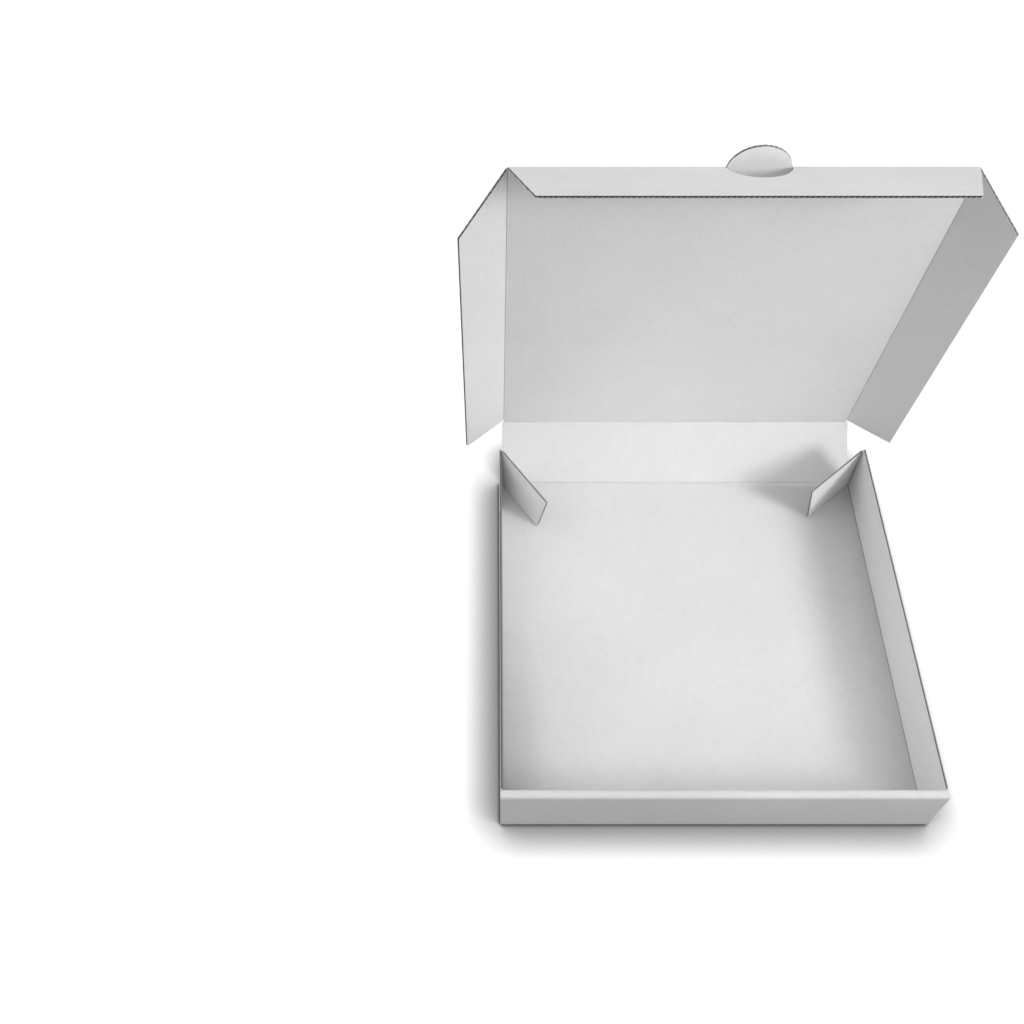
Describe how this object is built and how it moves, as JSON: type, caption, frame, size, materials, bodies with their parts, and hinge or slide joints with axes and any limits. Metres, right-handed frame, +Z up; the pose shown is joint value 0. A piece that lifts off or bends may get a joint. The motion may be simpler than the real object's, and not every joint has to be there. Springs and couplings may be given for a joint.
{
  "type": "pizza box",
  "caption": "Square hinged-lid folding box of thin white corrugated board, with a roll-over front wall, a lid with tuck-in flaps and a half-round thumb tab, and rear corner flaps.",
  "frame": {"origin": "centre of the tray's underside, on the ground", "axes": "+Z up out of the tray, -Z out of the flat underside; -Y towards the front wall that the lid tucks behind, +Y towards the back wall and the lid's crease; +X to the right seen from the front"},
  "size_m": [0.3637, 0.3481, 0.3463],
  "materials": {
    "white_board": "matte"
  },
  "bodies": {
    "tray": {"base_tray": "white_board"},
    "back": {"back_wall": "white_board"},
    "lid": {"lid_panel": "white_board"},
    "front_flap": {"lid_front_flap": "white_board"},
    "side_flap_left": {"lid_side_flap_left": "white_board"},
    "side_flap_right": {"lid_side_flap_right": "white_board"},
    "corner_flap_left": {"rear_corner_flap_left": "white_board"},
    "corner_flap_right": {"rear_corner_flap_right": "white_board"}
  },
  "joints": [
    {"name": "back_wall_crease", "type": "hinge", "parent": "tray", "child": "back", "pos_m": [0, 0.1514, 0.0016], "axis": [-1, 0, 0], "range_deg": [-53, 37]},
    {"name": "lid_crease", "type": "hinge", "parent": "back", "child": "lid", "pos_m": [0, 0.19357, 0.03338], "axis": [-1, 0, 0], "range_deg": [-29, 61]},
    {"name": "front_flap_crease", "type": "hinge", "parent": "lid", "child": "front_flap", "pos_m": [0, 0.15226, 0.32729], "axis": [-1, 0, 0], "range_deg": [-36.5, 63.5]},
    {"name": "side_flap_left_crease", "type": "hinge", "parent": "lid", "child": "side_flap_left", "pos_m": [-0.1486, 0.17269, 0.18192], "axis": [0, 0.1392, -0.9903], "range_deg": [-50, 40]},
    {"name": "side_flap_right_crease", "type": "hinge", "parent": "lid", "child": "side_flap_right", "pos_m": [0.1486, 0.17269, 0.18192], "axis": [0, -0.1392, 0.9903], "range_deg": [-55.5, 34.5]},
    {"name": "corner_flap_left_crease", "type": "hinge", "parent": "tray", "child": "corner_flap_left", "pos_m": [-0.1509, 0.1495, 0.025], "axis": [0, 0, -1], "range_deg": [-56, 19]},
    {"name": "corner_flap_right_crease", "type": "hinge", "parent": "tray", "child": "corner_flap_right", "pos_m": [0.1509, 0.1495, 0.025], "axis": [0, 0, 1], "range_deg": [-41, 34]}
  ]
}
